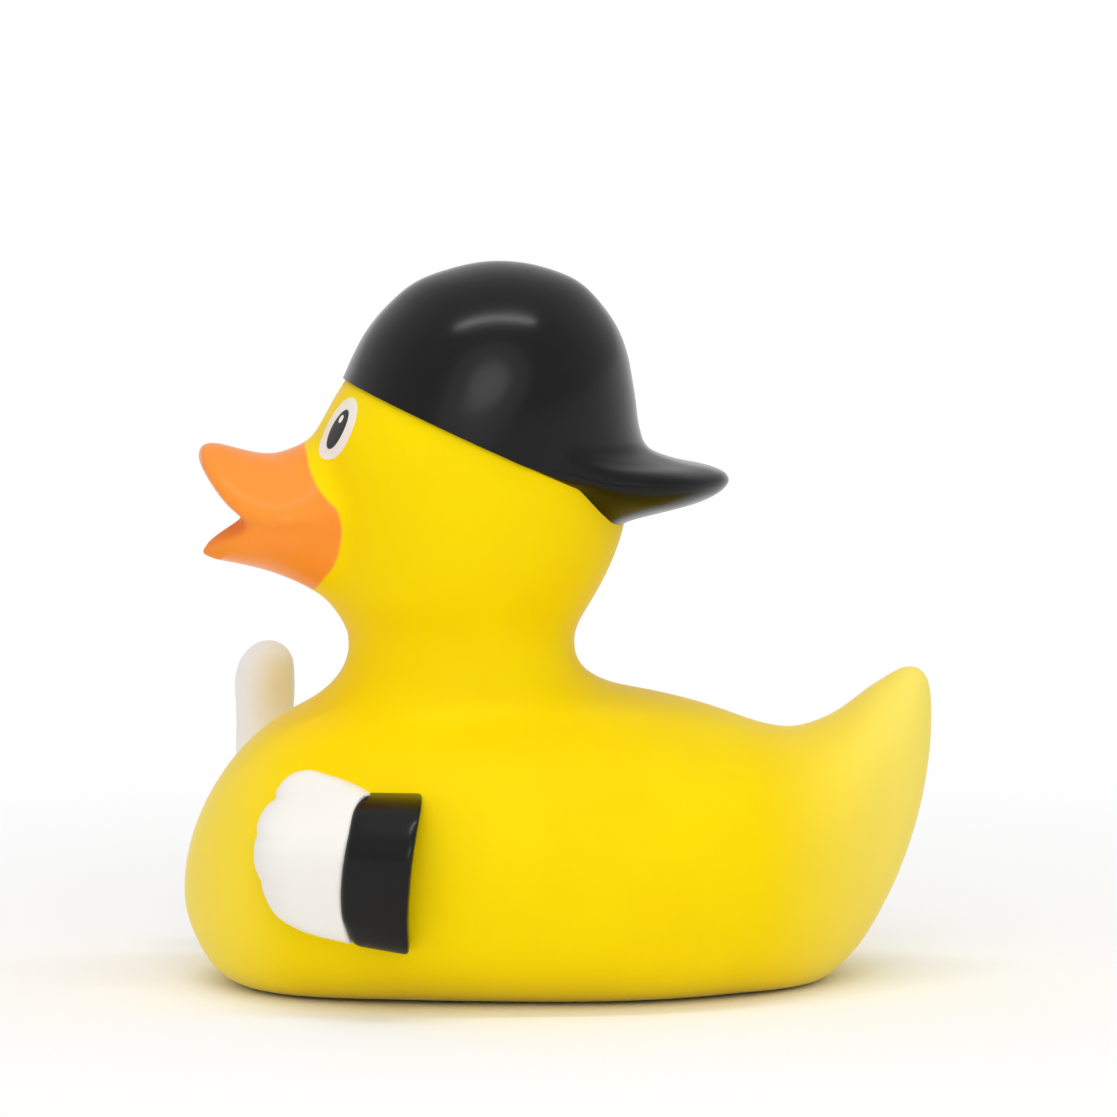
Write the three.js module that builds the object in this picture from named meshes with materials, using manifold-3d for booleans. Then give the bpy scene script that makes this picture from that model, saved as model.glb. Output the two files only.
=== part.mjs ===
// A toy rubber duck in a backward cap, moulded in one piece of soft vinyl.
// Millimetres, +Z up. The bill points along -X, the duck's left side faces -Y,
// and the origin is on the base, midway between chest and tail.
import * as THREE from "three";
import { LoftGeometry } from "three/addons/geometries/LoftGeometry.js";
import { mergeVertices } from "three/addons/utils/BufferGeometryUtils.js";
import Module from "manifold-3d";

// Trunk
const TRUNK_LENGTH = 85; // chest to the back of the tail
const TRUNK_WIDTH = 60; // across the flanks
const CHEST_HEIGHT = 10.5; // foremost point of the chest
const SHOULDER_HEIGHT = 33; // top of the trunk under the neck
const SADDLE_DROP = 4.9; // shoulders down to the dip ahead of the tail
const TAIL_RISE = 7.3; // dip up to the top of the tail
const BEAM_HEIGHT = 13; // widest level of the trunk
const KEEL_DEPTH = 1.6; // how far the round belly would reach below the base

// Neck and head
const CHEST_TO_NECK = 31.5; // chest to the middle of the neck
const NECK_LENGTH = 25; // front to back, where it is narrowest
const NECK_WIDTH = 25.6;
const NECK_RISE = 5.4; // shoulders up to the narrowest level
const COLLAR_DROP = 3; // how much lower the foot of the neck is at the sides
const HEAD_BEHIND = 1.6; // middle of the head behind the middle of the neck
const HEAD_LENGTH = 36.6; // forehead to nape
const HEAD_WIDTH = 35.2;
const HEAD_RISE = 42.8; // narrowest level of the neck up to the crown

// Bill
const BILL_LENGTH = 13.1; // forehead to the tip of the upper half
const BILL_WIDTH = 24;
const BILL_RISE = 8; // mouth up to the hollow of the upper line
const MOUTH_RISE = 13.6; // narrowest level of the neck up to the mouth
const LOWER_BILL_LENGTH = 12.4;
const LOWER_BILL_WIDTH = 21.5;
const LOWER_TIP_DROP = 3.3; // mouth down to the tip of the lower half
const CHIN_DROP = 8.4; // mouth down to the chin
const LIP = 0.6; // half the thickness of the edge of each half

// Cap
const CAP_STEP = 0.6; // how far the cap stands proud of the head
const RIM_DROP = 13.5; // crown down to the rim above the bill
const RIM_SETBACK = 3.6; // forehead back to the rim above the bill
const RIM_TILT = THREE.MathUtils.degToRad(24.2); // the rim falls towards the back
const VISOR_LENGTH = 10.5; // nape to the tip
const VISOR_WIDTH = 31;
const VISOR_DROP = 23.8; // crown down to the edge of the visor
const VISOR_DEPTH = 5.2; // edge down to the keel, at the nape

// Arms, the same on both flanks
const CHEST_TO_WRIST = 18.6; // chest to where hand and cuff meet
const ARM_HEIGHT = 16.6; // middle of the cuff
const ARM_TURN = THREE.MathUtils.degToRad(24); // the arms reach in towards the chest
const ARM_LEAN = 0.11; // backward lean for each millimetre of height
const ARM_PROUD = 4; // how far the arm stands out of the flank
const ARM_DEPTH = 12; // through the arm, most of it sunk in the flank
const HAND_LENGTH = 9.6; // wrist to the middle of the knuckles
const HAND_HEIGHT = 16.4;
const HAND_OVERLAP = 1; // how far the hand reaches into the cuff
const CUFF_LENGTH = 8.6; // along its outer face
const CUFF_HEIGHT = 17.4;
const CUFF_STEP = 0.3; // how far the cuff stands proud of the hand

// Fingers of the closed hand: height above the arm, reach from the wrist, thickness.
const FINGERS = [
  [8, 8.9, 6],
  [4.6, 11.2, 7.4],
  [0.2, 11.4, 8],
  [-4, 10, 8.4],
];

// Raised finger of the right hand
const FINGER_DIAMETER = 7;
const FINGER_RISE = 19.4; // middle of the arm up to the fingertip
const FINGER_SETBACK = 0.2; // middle of the knuckles back to the finger

// Hollow inside and its vent
const WALL = 2.2;
const VENT_DIAMETER = 2.6;
const CHEST_TO_VENT = 38.5;

// Facets: sections along a skin and points around each
const BODY_FACETS = { along: 30, around: 32 };
const HOLLOW_FACETS = { along: 18, around: 20 };
const DETAIL_FACETS = { along: 12, around: 20 };
const FINGER_FACETS = { along: 8, around: 14 };

// Places that follow from the sizes above
const chestX = -TRUNK_LENGTH / 2;
const neckX = chestX + CHEST_TO_NECK;
const neckHeight = SHOULDER_HEIGHT + NECK_RISE;
const crownHeight = neckHeight + HEAD_RISE;
const headX = neckX + HEAD_BEHIND;
const foreheadX = headX - HEAD_LENGTH / 2;
const napeX = headX + HEAD_LENGTH / 2;
const mouthHeight = neckHeight + MOUTH_RISE;

const wasm = await Module();
wasm.setup();

// A closed geometry as a solid that can be joined and cut.
function solid(geometry) {
  const bare = new THREE.BufferGeometry();
  bare.setAttribute("position", geometry.getAttribute("position"));
  bare.setIndex(geometry.getIndex());
  const merged = mergeVertices(bare, 1e-4);
  return new wasm.Manifold(
    new wasm.Mesh({
      numProp: 3,
      vertProperties: new Float32Array(merged.getAttribute("position").array),
      triVerts: new Uint32Array(merged.getIndex().array),
    }),
  );
}

// A solid as a geometry for a mesh.
function geometryOf(made) {
  const mesh = made.getMesh();
  const geometry = new THREE.BufferGeometry();
  geometry.setAttribute("position", new THREE.BufferAttribute(mesh.vertProperties, 3));
  geometry.setIndex(new THREE.BufferAttribute(mesh.triVerts, 1));
  geometry.computeVertexNormals();
  return geometry;
}

// A smooth curve through knots of [place, value], as a function of the place.
function through(knots) {
  const places = knots.map(([place]) => place);
  const values = knots.map(([, value]) => value);
  const curve = new THREE.CubicInterpolant(places, values, 1);
  return (place) => curve.evaluate(place)[0];
}

// The same on a quarter-wave scale at both ends, which rounds the ends of a loft.
// Places run from 0 to 1.
const swept = (share) => Math.acos(1 - 2 * share);
function rounded(knots) {
  const curve = through(knots.map(([share, value]) => [swept(share), value]));
  return (share) => curve(swept(share));
}

// Shares from 0 to 1, close together at both ends, without the ends themselves.
function shares(count) {
  return Array.from({ length: count }, (_, i) => (1 - Math.cos((Math.PI * (i + 0.5)) / count)) / 2);
}

// Cosine and sine bent towards a square: a power of 2 gives an ellipse.
function bent(wave, power) {
  return Math.sign(wave) * Math.abs(wave) ** (2 / power);
}

// A closed skin over rings, where ring(share, angle) is a point on the surface.
// Rings turn counterclockwise seen from the end of the loft.
function skin(places, around, ring) {
  const sections = places.map((share) =>
    Array.from({ length: around }, (_, i) => ring(share, (2 * Math.PI * i) / around)),
  );
  return solid(new LoftGeometry(sections, { capStart: true, capEnd: true }));
}

// A box that fills one side of the level z = 0, far beyond the duck.
function halfSpace(side) {
  const size = 4 * TRUNK_LENGTH;
  return new THREE.BoxGeometry(size, size, size).translate(0, 0, (side * size) / 2);
}

// Half the width of the trunk, from chest to tail.
const trunkHalfWidth = rounded(
  [
    [0, 0],
    [0.014, 0.25],
    [0.046, 0.465],
    [0.101, 0.68],
    [0.182, 0.855],
    [0.288, 0.965],
    [0.43, 1],
    [0.57, 0.98],
    [0.688, 0.885],
    [0.782, 0.73],
    [0.865, 0.52],
    [0.931, 0.33],
    [0.973, 0.205],
    [1, 0],
  ].map(([share, fullness]) => [share, (fullness * TRUNK_WIDTH) / 2]),
);

// Body and tail, lofted from the chest back. An inset gives the hollow inside.
function trunk(facets, inset = 0) {
  const saddle = SHOULDER_HEIGHT - SADDLE_DROP;
  const tailTop = saddle + TAIL_RISE;
  const tailEnd = tailTop - 4;
  const top = rounded([
    [0, CHEST_HEIGHT],
    [0.014, CHEST_HEIGHT + 6.6],
    [0.046, CHEST_HEIGHT + 12.1],
    [0.101, SHOULDER_HEIGHT - 4.8],
    [0.178, SHOULDER_HEIGHT - 1],
    [0.288, SHOULDER_HEIGHT],
    [0.594, SHOULDER_HEIGHT],
    [0.706, saddle + 2.7],
    [0.782, saddle + 0.5],
    [0.818, saddle],
    [0.862, saddle + 1.2],
    [0.931, tailTop - 1.9],
    [0.973, tailTop],
    [0.992, tailTop - 0.7],
    [1, tailEnd],
  ]);
  const bottom = rounded([
    [0, CHEST_HEIGHT],
    [0.018, CHEST_HEIGHT - 5.7],
    [0.038, CHEST_HEIGHT - 8.4],
    [0.072, 0],
    [0.3, -KEEL_DEPTH],
    [0.7, -KEEL_DEPTH],
    [0.86, 0],
    [0.899, 3.1],
    [0.939, 8.4],
    [0.978, 16.4],
    [1, tailEnd],
  ]);
  const beam = rounded([
    [0, CHEST_HEIGHT],
    [0.3, BEAM_HEIGHT],
    [0.78, BEAM_HEIGHT],
    [0.93, (BEAM_HEIGHT + tailEnd) / 2 - 2],
    [1, tailEnd],
  ]);
  const places = shares(facets.along).filter((share) => {
    const slim = Math.min(trunkHalfWidth(share), (top(share) - bottom(share)) / 2);
    return slim > 1.2 * inset;
  });
  return skin(places, facets.around, (share, angle) => {
    const above = Math.sin(angle) > 0;
    const power = above ? 2.15 : 2.6;
    const middle = beam(share);
    const reach = above ? top(share) - middle : middle - bottom(share);
    return new THREE.Vector3(
      (TRUNK_LENGTH - 2 * inset) * (share - 0.5),
      (trunkHalfWidth(share) - inset) * bent(Math.cos(angle), power),
      middle + (reach - inset) * bent(Math.sin(angle), power),
    );
  });
}

// Neck and head, lofted upwards from inside the shoulders.
function neckAndHead(facets, inset = 0) {
  const floor = SHOULDER_HEIGHT - 4;
  const neckFront = neckX - NECK_LENGTH / 2;
  const neckBack = neckX + NECK_LENGTH / 2;
  const crownX = headX + 2.6;
  const waist = (neckHeight - floor) / (crownHeight - floor);
  const above = (share) => waist + share * (1 - waist);
  const front = rounded([
    [0, neckFront - 8],
    [0.4 * waist, neckFront - 3],
    [waist, neckFront],
    [above(0.12), foreheadX + 1.9],
    [above(0.3), foreheadX],
    [above(0.55), foreheadX],
    [above(0.68), foreheadX + 3.3],
    [above(0.81), foreheadX + 6.9],
    [above(0.92), foreheadX + 11.8],
    [1, crownX],
  ]);
  const back = rounded([
    [0, neckBack + 15],
    [0.4 * waist, neckBack + 4],
    [waist, neckBack],
    [above(0.12), napeX - 5],
    [above(0.3), napeX - 1.1],
    [above(0.55), napeX - 0.2],
    [above(0.72), napeX - 1.1],
    [above(0.86), napeX - 3.6],
    [above(0.95), napeX - 8.8],
    [1, crownX],
  ]);
  const halfWidth = rounded([
    [0, NECK_WIDTH / 2 + 8.6],
    [0.4 * waist, NECK_WIDTH / 2 + 2.8],
    [waist, NECK_WIDTH / 2],
    [above(0.12), HEAD_WIDTH / 2 - 2.6],
    [above(0.3), HEAD_WIDTH / 2 - 0.4],
    [above(0.5), HEAD_WIDTH / 2],
    [above(0.7), HEAD_WIDTH / 2 - 1.2],
    [above(0.86), HEAD_WIDTH / 2 - 4.9],
    [above(0.95), HEAD_WIDTH / 2 - 9.6],
    [1, 0],
  ]);
  const places = shares(facets.along).filter((share) => halfWidth(share) > 1.2 * inset);
  return skin(places, facets.around, (share, angle) => {
    const lengthwise = (back(share) - front(share)) / 2 - inset;
    const crosswise = halfWidth(share) - inset;
    const middle = (back(share) + front(share)) / 2;
    const drop = COLLAR_DROP * Math.max(1 - share / waist, 0) ** 2;
    return new THREE.Vector3(
      middle + lengthwise * Math.cos(angle),
      crosswise * Math.sin(angle),
      floor + (crownHeight - inset - floor) * share - drop * Math.sin(angle) ** 2,
    );
  });
}

// Crown of the cap: the head, grown by the step and trimmed at the rim.
function capCrown() {
  const aboveRim = halfSpace(1).rotateY(RIM_TILT);
  aboveRim.translate(foreheadX + RIM_SETBACK, 0, crownHeight - RIM_DROP);
  return neckAndHead(BODY_FACETS, -CAP_STEP).intersect(solid(aboveRim));
}

// Visor at the nape: an arched top over a hull-shaped underside.
function visor() {
  const root = headX + 4;
  const length = napeX + VISOR_LENGTH - root;
  const edgeHeight = crownHeight - VISOR_DROP;
  const halfWidth = rounded([
    [0, VISOR_WIDTH / 2],
    [0.35, VISOR_WIDTH / 2 - 0.4],
    [0.62, VISOR_WIDTH / 2 - 2],
    [0.8, VISOR_WIDTH / 2 - 4.6],
    [0.92, VISOR_WIDTH / 2 - 8.6],
    [1, 0],
  ]);
  const rise = rounded([
    [0, 9],
    [0.55, 5.4],
    [0.65, 3],
    [0.8, 1.6],
    [0.94, 1],
    [1, 0],
  ]);
  const edge = through([
    [0, edgeHeight + 3],
    [0.5, edgeHeight + 0.3],
    [1, edgeHeight - 0.3],
  ]);
  const depth = rounded([
    [0, VISOR_DEPTH],
    [0.5, VISOR_DEPTH],
    [0.75, VISOR_DEPTH - 1.4],
    [0.92, VISOR_DEPTH - 2.6],
    [1, 0],
  ]);
  return skin(shares(DETAIL_FACETS.along), DETAIL_FACETS.around, (share, angle) => {
    const above = Math.sin(angle) > 0;
    const power = above ? 2 : 1.6;
    const reach = above ? rise(share) : depth(share);
    return new THREE.Vector3(
      root + length * share,
      halfWidth(share) * bent(Math.cos(angle), power),
      edge(share) + reach * bent(Math.sin(angle), power),
    );
  });
}

// Half of the bill, from inside the head to its tip along -X. Its edge is the widest
// line; crown is the height above the edge and belly the depth below it.
function billHalf({ length, width, edge, crown, belly }) {
  const root = foreheadX + 8;
  const tip = foreheadX - length;
  const halfWidth = rounded([
    [0, 0.5 * width],
    [0.55, 0.5 * width],
    [0.78, 0.46 * width],
    [0.92, 0.33 * width],
    [1, 0],
  ]);
  return skin(shares(DETAIL_FACETS.along), DETAIL_FACETS.around, (share, angle) => {
    const reach = Math.sin(angle) > 0 ? crown(share) : belly(share);
    return new THREE.Vector3(
      root + (tip - root) * share,
      -halfWidth(share) * bent(Math.cos(angle), 2.2),
      edge(share) + reach * bent(Math.sin(angle), 2.2),
    );
  });
}

// Upper half: its edge climbs from the mouth to a turned-up tip.
function upperBill() {
  const edge = rounded([
    [0, mouthHeight],
    [0.66, mouthHeight],
    [0.78, mouthHeight + 1.8],
    [0.88, mouthHeight + 4],
    [0.97, mouthHeight + 6.2],
    [1, mouthHeight + BILL_RISE - 0.4],
  ]);
  const top = rounded([
    [0, mouthHeight + BILL_RISE + 4],
    [0.42, mouthHeight + BILL_RISE + 1.2],
    [0.62, mouthHeight + BILL_RISE - 0.2],
    [0.8, mouthHeight + BILL_RISE + 0.6],
    [0.93, mouthHeight + BILL_RISE + 1.4],
    [1, mouthHeight + BILL_RISE - 0.4],
  ]);
  const crown = (share) => top(share) - edge(share);
  const belly = () => LIP;
  return billHalf({ length: BILL_LENGTH, width: BILL_WIDTH, edge, crown, belly });
}

// Lower half: its lip falls from the mouth to the tip, over a rising chin.
function lowerBill() {
  const edge = rounded([
    [0, mouthHeight],
    [0.7, mouthHeight - 0.2],
    [0.84, mouthHeight - 1],
    [0.95, mouthHeight - 2.2],
    [1, mouthHeight - LOWER_TIP_DROP],
  ]);
  const chin = rounded([
    [0, mouthHeight - CHIN_DROP - 1],
    [0.35, mouthHeight - CHIN_DROP],
    [0.58, mouthHeight - CHIN_DROP + 2.4],
    [0.83, mouthHeight - CHIN_DROP + 3.9],
    [1, mouthHeight - LOWER_TIP_DROP],
  ]);
  const crown = () => LIP;
  const belly = (share) => edge(share) - chin(share);
  return billHalf({ length: LOWER_BILL_LENGTH, width: LOWER_BILL_WIDTH, edge, crown, belly });
}

// Moves a solid made along the arm to its flank: side is -1 on the left, 1 on the right.
// Arms are made at the origin, with the hand along -X and the outer face along +Y.
function atFlank(made, side) {
  const wrist = trunkHalfWidth(CHEST_TO_WRIST / TRUNK_LENGTH);
  const sunk = ARM_DEPTH / 2 - ARM_PROUD;
  const turned = made.rotate([0, 0, THREE.MathUtils.radToDeg(ARM_TURN)]);
  const placed = turned.translate([
    chestX + CHEST_TO_WRIST + sunk * Math.sin(ARM_TURN),
    wrist - sunk * Math.cos(ARM_TURN),
    ARM_HEIGHT,
  ]);
  return side > 0 ? placed : placed.mirror([0, 1, 0]);
}

// Back of the hand, from inside the cuff forwards, under its four curled fingers.
function hand() {
  const palm = skin([0, 0.3, 0.6, 0.85, 1], DETAIL_FACETS.around, (share, angle) => {
    const slim = Math.sqrt(1 - (0.75 * share) ** 2);
    const height = (HAND_HEIGHT / 2) * slim * bent(Math.sin(angle), 3);
    return new THREE.Vector3(
      HAND_OVERLAP - (HAND_LENGTH + HAND_OVERLAP) * share + ARM_LEAN * height,
      -(ARM_DEPTH / 2) * bent(Math.cos(angle), 3),
      height,
    );
  });
  return FINGERS.map(curledFinger).reduce((whole, finger) => whole.add(finger), palm);
}

// One finger of the closed hand, from the wrist to its rounded knuckle.
function curledFinger([rise, reach, thickness]) {
  const fullness = rounded([
    [0, 0.6],
    [0.4, 0.96],
    [0.75, 0.9],
    [1, 0],
  ]);
  return skin(shares(FINGER_FACETS.along), FINGER_FACETS.around, (share, angle) => {
    const middle = rise * (0.75 + 0.25 * share);
    const height = middle + (thickness / 2) * fullness(share) * bent(Math.sin(angle), 2.4);
    return new THREE.Vector3(
      HAND_OVERLAP - (reach + HAND_OVERLAP) * share + ARM_LEAN * height,
      -(ARM_DEPTH / 2) * fullness(share) * bent(Math.cos(angle), 2.4),
      height,
    );
  });
}

// Cuff of the sleeve, from the wrist backwards. Its back end is cut straight across the duck.
function cuff() {
  const outer = ARM_DEPTH / 2 + CUFF_STEP;
  return skin([0, 1], DETAIL_FACETS.around, (share, angle) => {
    const height = (CUFF_HEIGHT / 2) * bent(Math.sin(angle), 3);
    const across = outer * bent(Math.cos(angle), 3);
    const end = CUFF_LENGTH - (outer - across) * Math.tan(ARM_TURN);
    return new THREE.Vector3(end * share + ARM_LEAN * height, across, height);
  });
}

// Finger held up from the knuckles of the right hand.
function raisedFinger() {
  const straight = FINGER_RISE - FINGER_DIAMETER / 2;
  const finger = new THREE.CapsuleGeometry(FINGER_DIAMETER / 2, straight, 5, 14);
  finger.rotateX(Math.PI / 2);
  finger.translate(
    FINGER_SETBACK - HAND_LENGTH,
    ARM_DEPTH / 2 - FINGER_DIAMETER / 2,
    straight / 2,
  );
  return solid(finger);
}

// Vent through the base, which lets the air out of the hollow.
function vent() {
  const bore = new THREE.CylinderGeometry(VENT_DIAMETER / 2, VENT_DIAMETER / 2, 4 * WALL, 16);
  bore.rotateX(Math.PI / 2);
  bore.translate(chestX + CHEST_TO_VENT, 0, 0);
  return solid(bore);
}

// The whole moulding, flat underneath and hollow inside.
function moulding() {
  const arm = hand().add(cuff());
  const outside = [
    neckAndHead(BODY_FACETS),
    capCrown(),
    visor(),
    upperBill(),
    lowerBill(),
    atFlank(arm, -1),
    atFlank(arm.add(raisedFinger()), 1),
  ].reduce((whole, piece) => whole.add(piece), trunk(BODY_FACETS));
  const hollow = trunk(HOLLOW_FACETS, WALL)
    .add(neckAndHead(HOLLOW_FACETS, WALL))
    .intersect(solid(halfSpace(1).translate(0, 0, WALL)));
  return outside.subtract(solid(halfSpace(-1))).subtract(hollow).subtract(vent());
}

const yellowVinyl = new THREE.MeshStandardMaterial({
  color: new THREE.Color(0.96, 0.73, 0.005),
  roughness: 0.5,
  metalness: 0,
});

const duck = new THREE.Mesh(geometryOf(moulding()), yellowVinyl);
duck.name = "duck_moulding";

const part = new THREE.Group();
part.add(duck);

export default part;
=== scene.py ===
"""Looks of a one-piece vinyl toy duck that wears a cap with its visor to the back.

The bill points along -X, the left flank faces -Y and the base lies on Z = 0.
Sizes are in millimetres, and meshes are made from them in metres.
"""

import logging
import math
from bisect import bisect_right
from contextlib import contextmanager
from dataclasses import dataclass, field
from enum import Enum
from functools import cache, cached_property
from typing import Any, Iterable, Iterator, Mapping, Union

import bmesh
import bpy
from mathutils import Matrix, Vector
from mathutils.bvhtree import BVHTree


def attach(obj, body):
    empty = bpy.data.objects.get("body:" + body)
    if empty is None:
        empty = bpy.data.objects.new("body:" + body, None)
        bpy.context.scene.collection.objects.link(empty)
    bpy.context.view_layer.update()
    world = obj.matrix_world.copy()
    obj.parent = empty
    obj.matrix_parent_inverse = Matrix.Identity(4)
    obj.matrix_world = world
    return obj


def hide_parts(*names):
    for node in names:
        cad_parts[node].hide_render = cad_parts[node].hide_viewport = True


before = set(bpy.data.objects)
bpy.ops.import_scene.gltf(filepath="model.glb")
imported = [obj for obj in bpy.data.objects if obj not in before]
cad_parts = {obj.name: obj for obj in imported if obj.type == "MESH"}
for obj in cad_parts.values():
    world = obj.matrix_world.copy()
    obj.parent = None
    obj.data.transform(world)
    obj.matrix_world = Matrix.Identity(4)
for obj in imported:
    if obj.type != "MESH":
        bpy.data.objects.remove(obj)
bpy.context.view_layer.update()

MM = 0.001
PHOTO_SIDE = 1117
log = logging.getLogger("duck")

Colour = tuple[float, float, float]
Point = tuple[float, float, float]
Span = tuple[float, float]
Knots = tuple[Span, ...]


class Side(Enum):
    """A side of the duck, by the sign of its Y."""

    LEFT = -1
    RIGHT = 1


def bent(wave: float, power: float) -> float:
    """A cosine or sine bent towards a square; a power of 2 leaves it round."""
    return math.copysign(abs(wave) ** (2.0 / power), wave)


def squared(wide: float, tall: float, power: float) -> tuple[float, float]:
    """Moves a point of the unit circle straight out to a rounded square."""
    reach = (abs(wide) ** power + abs(tall) ** power) ** (1.0 / power)
    return wide / reach, tall / reach


def swell(distance: float, width: float) -> float:
    """A smooth bump of height 1 at distance 0 that fades over the width."""
    return math.exp(-((distance / width) ** 2))


def step(value: float, low: float, high: float) -> float:
    """A smooth step from 0 at low to 1 at high."""
    share = min(max((value - low) / (high - low), 0.0), 1.0)
    return share * share * (3.0 - 2.0 * share)


@dataclass(frozen=True)
class Outline:
    """A smooth line through knots of (place, value). Eased, it lets a form end round."""

    knots: Knots
    eased: bool = True

    def _scaled(self, place: float) -> float:
        """A place on the line's own scale, which opens up both ends if it is eased.

        Args:
            place: Where along the line, on the scale of its knots.

        Returns:
            The place from 0 to pi if the line is eased, otherwise from 0 to 1.
        """
        start, end = self.knots[0][0], self.knots[-1][0]
        share = min(max((place - start) / (end - start), 0.0), 1.0)
        return math.acos(1.0 - 2.0 * share) if self.eased else share

    @cached_property
    def _table(self) -> tuple[list[float], list[float], list[float]]:
        """Works out the slopes of a smooth line through the knots.

        Returns:
            Scaled places, values and slopes of the knots.
        """
        places = [self._scaled(place) for place, _ in self.knots]
        values = [value for _, value in self.knots]
        gaps = [after - before for before, after in zip(places, places[1:])]
        rises = [(b - a) / gap for a, b, gap in zip(values, values[1:], gaps)]
        inner = [
            (rises[i] * gaps[i + 1] + rises[i + 1] * gaps[i]) / (gaps[i] + gaps[i + 1])
            for i in range(len(rises) - 1)
        ]
        first = (3.0 * rises[0] - inner[0]) / 2.0
        last = (3.0 * rises[-1] - inner[-1]) / 2.0
        return places, values, [first, *inner, last]

    def at(self, place: float) -> float:
        """The value at a place.

        Args:
            place: Where along the line, on the scale of its knots.

        Returns:
            The value of the line there.
        """
        places, values, slopes = self._table
        scaled = self._scaled(place)
        i = min(max(bisect_right(places, scaled) - 1, 0), len(places) - 2)
        gap = places[i + 1] - places[i]
        s = (scaled - places[i]) / gap
        rest = 1.0 - s
        ends = values[i] * rest * rest * (1.0 + 2.0 * s) + values[i + 1] * s * s * (3.0 - 2.0 * s)
        return ends + gap * s * rest * (slopes[i] * rest - slopes[i + 1] * s)


@cache
def ball(around: int, along: int) -> bpy.types.Mesh:
    """A unit ball, made once for each count of faces.

    Args:
        around: Faces around its axis.
        along: Faces from pole to pole.

    Returns:
        The ball, with its poles on Z.
    """
    bm = bmesh.new()
    bmesh.ops.create_uvsphere(bm, u_segments=around, v_segments=along, radius=1.0)
    mesh = bpy.data.meshes.new("ball")
    bm.to_mesh(mesh)
    bm.free()
    return mesh


class Form:
    """A closed rounded form: a ball whose every point is moved to its place on the form."""

    AROUND = 112
    ALONG = 88
    POLE = 1e-4

    def place(self, axial: float, radial: float, angle: float) -> Vector:
        """Where a point of the ball goes.

        Args:
            axial: Height on the ball, from -1 at the start of the form to 1 at its end.
            radial: Distance from the axis of the ball, 0 at both ends.
            angle: Turn around the axis, in radians.

        Returns:
            The point of the form, in millimetres.
        """
        raise NotImplementedError

    def add_to(self, bm: bmesh.types.BMesh) -> None:
        """Adds the form to a bmesh, facing outwards.

        Args:
            bm: The bmesh, in metres.
        """
        form = bmesh.new()
        form.from_mesh(ball(self.AROUND, self.ALONG))
        for vert in form.verts:
            axial = min(max(vert.co.z, -1.0), 1.0)
            radial = math.hypot(vert.co.x, vert.co.y)
            angle = math.atan2(vert.co.y, vert.co.x)
            if radial <= self.POLE:
                radial = angle = 0.0
            vert.co = MM * self.place(axial, radial, angle)
        bmesh.ops.recalc_face_normals(form, faces=form.faces)
        if form.calc_volume(signed=True) < 0.0:
            bmesh.ops.reverse_faces(form, faces=form.faces)
        mesh = bpy.data.meshes.new("form")
        form.to_mesh(mesh)
        form.free()
        bm.from_mesh(mesh)
        bpy.data.meshes.remove(mesh)


@dataclass(frozen=True)
class Trunk(Form):
    """Body and tail, from the chest back."""

    top: Outline = Outline((
        (-42.5, 10.5), (-41.3, 17.3), (-38.6, 22.8), (-33.9, 28.4), (-27.4, 32.1), (-18.0, 33.2),
        (8.0, 33.2), (17.5, 31.0), (24.0, 28.7), (27.0, 28.3), (30.8, 29.4), (36.6, 33.5),
        (40.2, 35.4), (42.0, 34.6), (42.8, 31.0),
    ))
    bottom: Outline = Outline((
        (-42.5, 10.5), (-41.0, 4.8), (-39.3, 2.1), (-36.2, 0.0), (-17.0, -1.8), (17.0, -1.8),
        (30.0, 0.0), (33.9, 3.3), (37.4, 8.8), (40.7, 16.9), (42.8, 31.0),
    ))
    half_width: Outline = Outline((
        (-42.5, 0.0), (-41.3, 7.5), (-38.6, 14.0), (-33.9, 20.4), (-27.0, 25.7), (-18.0, 28.95),
        (-6.0, 30.0), (6.0, 29.4), (16.0, 26.5), (24.0, 21.9), (31.0, 15.6), (36.6, 9.9),
        (40.2, 6.3), (42.0, 3.4), (42.8, 0.0),
    ))
    beam: Outline = Outline((
        (-42.5, 10.5), (-17.0, 13.0), (24.0, 13.0), (36.5, 20.0), (42.8, 31.0),
    ))
    upper_power: float = 2.15
    lower_power: float = 2.5

    def place(self, axial: float, radial: float, angle: float) -> Vector:
        """See Form.place."""
        start, end = self.top.knots[0][0], self.top.knots[-1][0]
        x = start + (end - start) * (1.0 + axial) / 2.0
        above = math.sin(angle) >= 0.0
        power = self.upper_power if above else self.lower_power
        middle = self.beam.at(x)
        reach = self.top.at(x) - middle if above else middle - self.bottom.at(x)
        half = self.half_width.at(x)
        return Vector((
            x,
            half * bent(math.cos(angle), power),
            middle + reach * bent(math.sin(angle), power),
        ))


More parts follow.
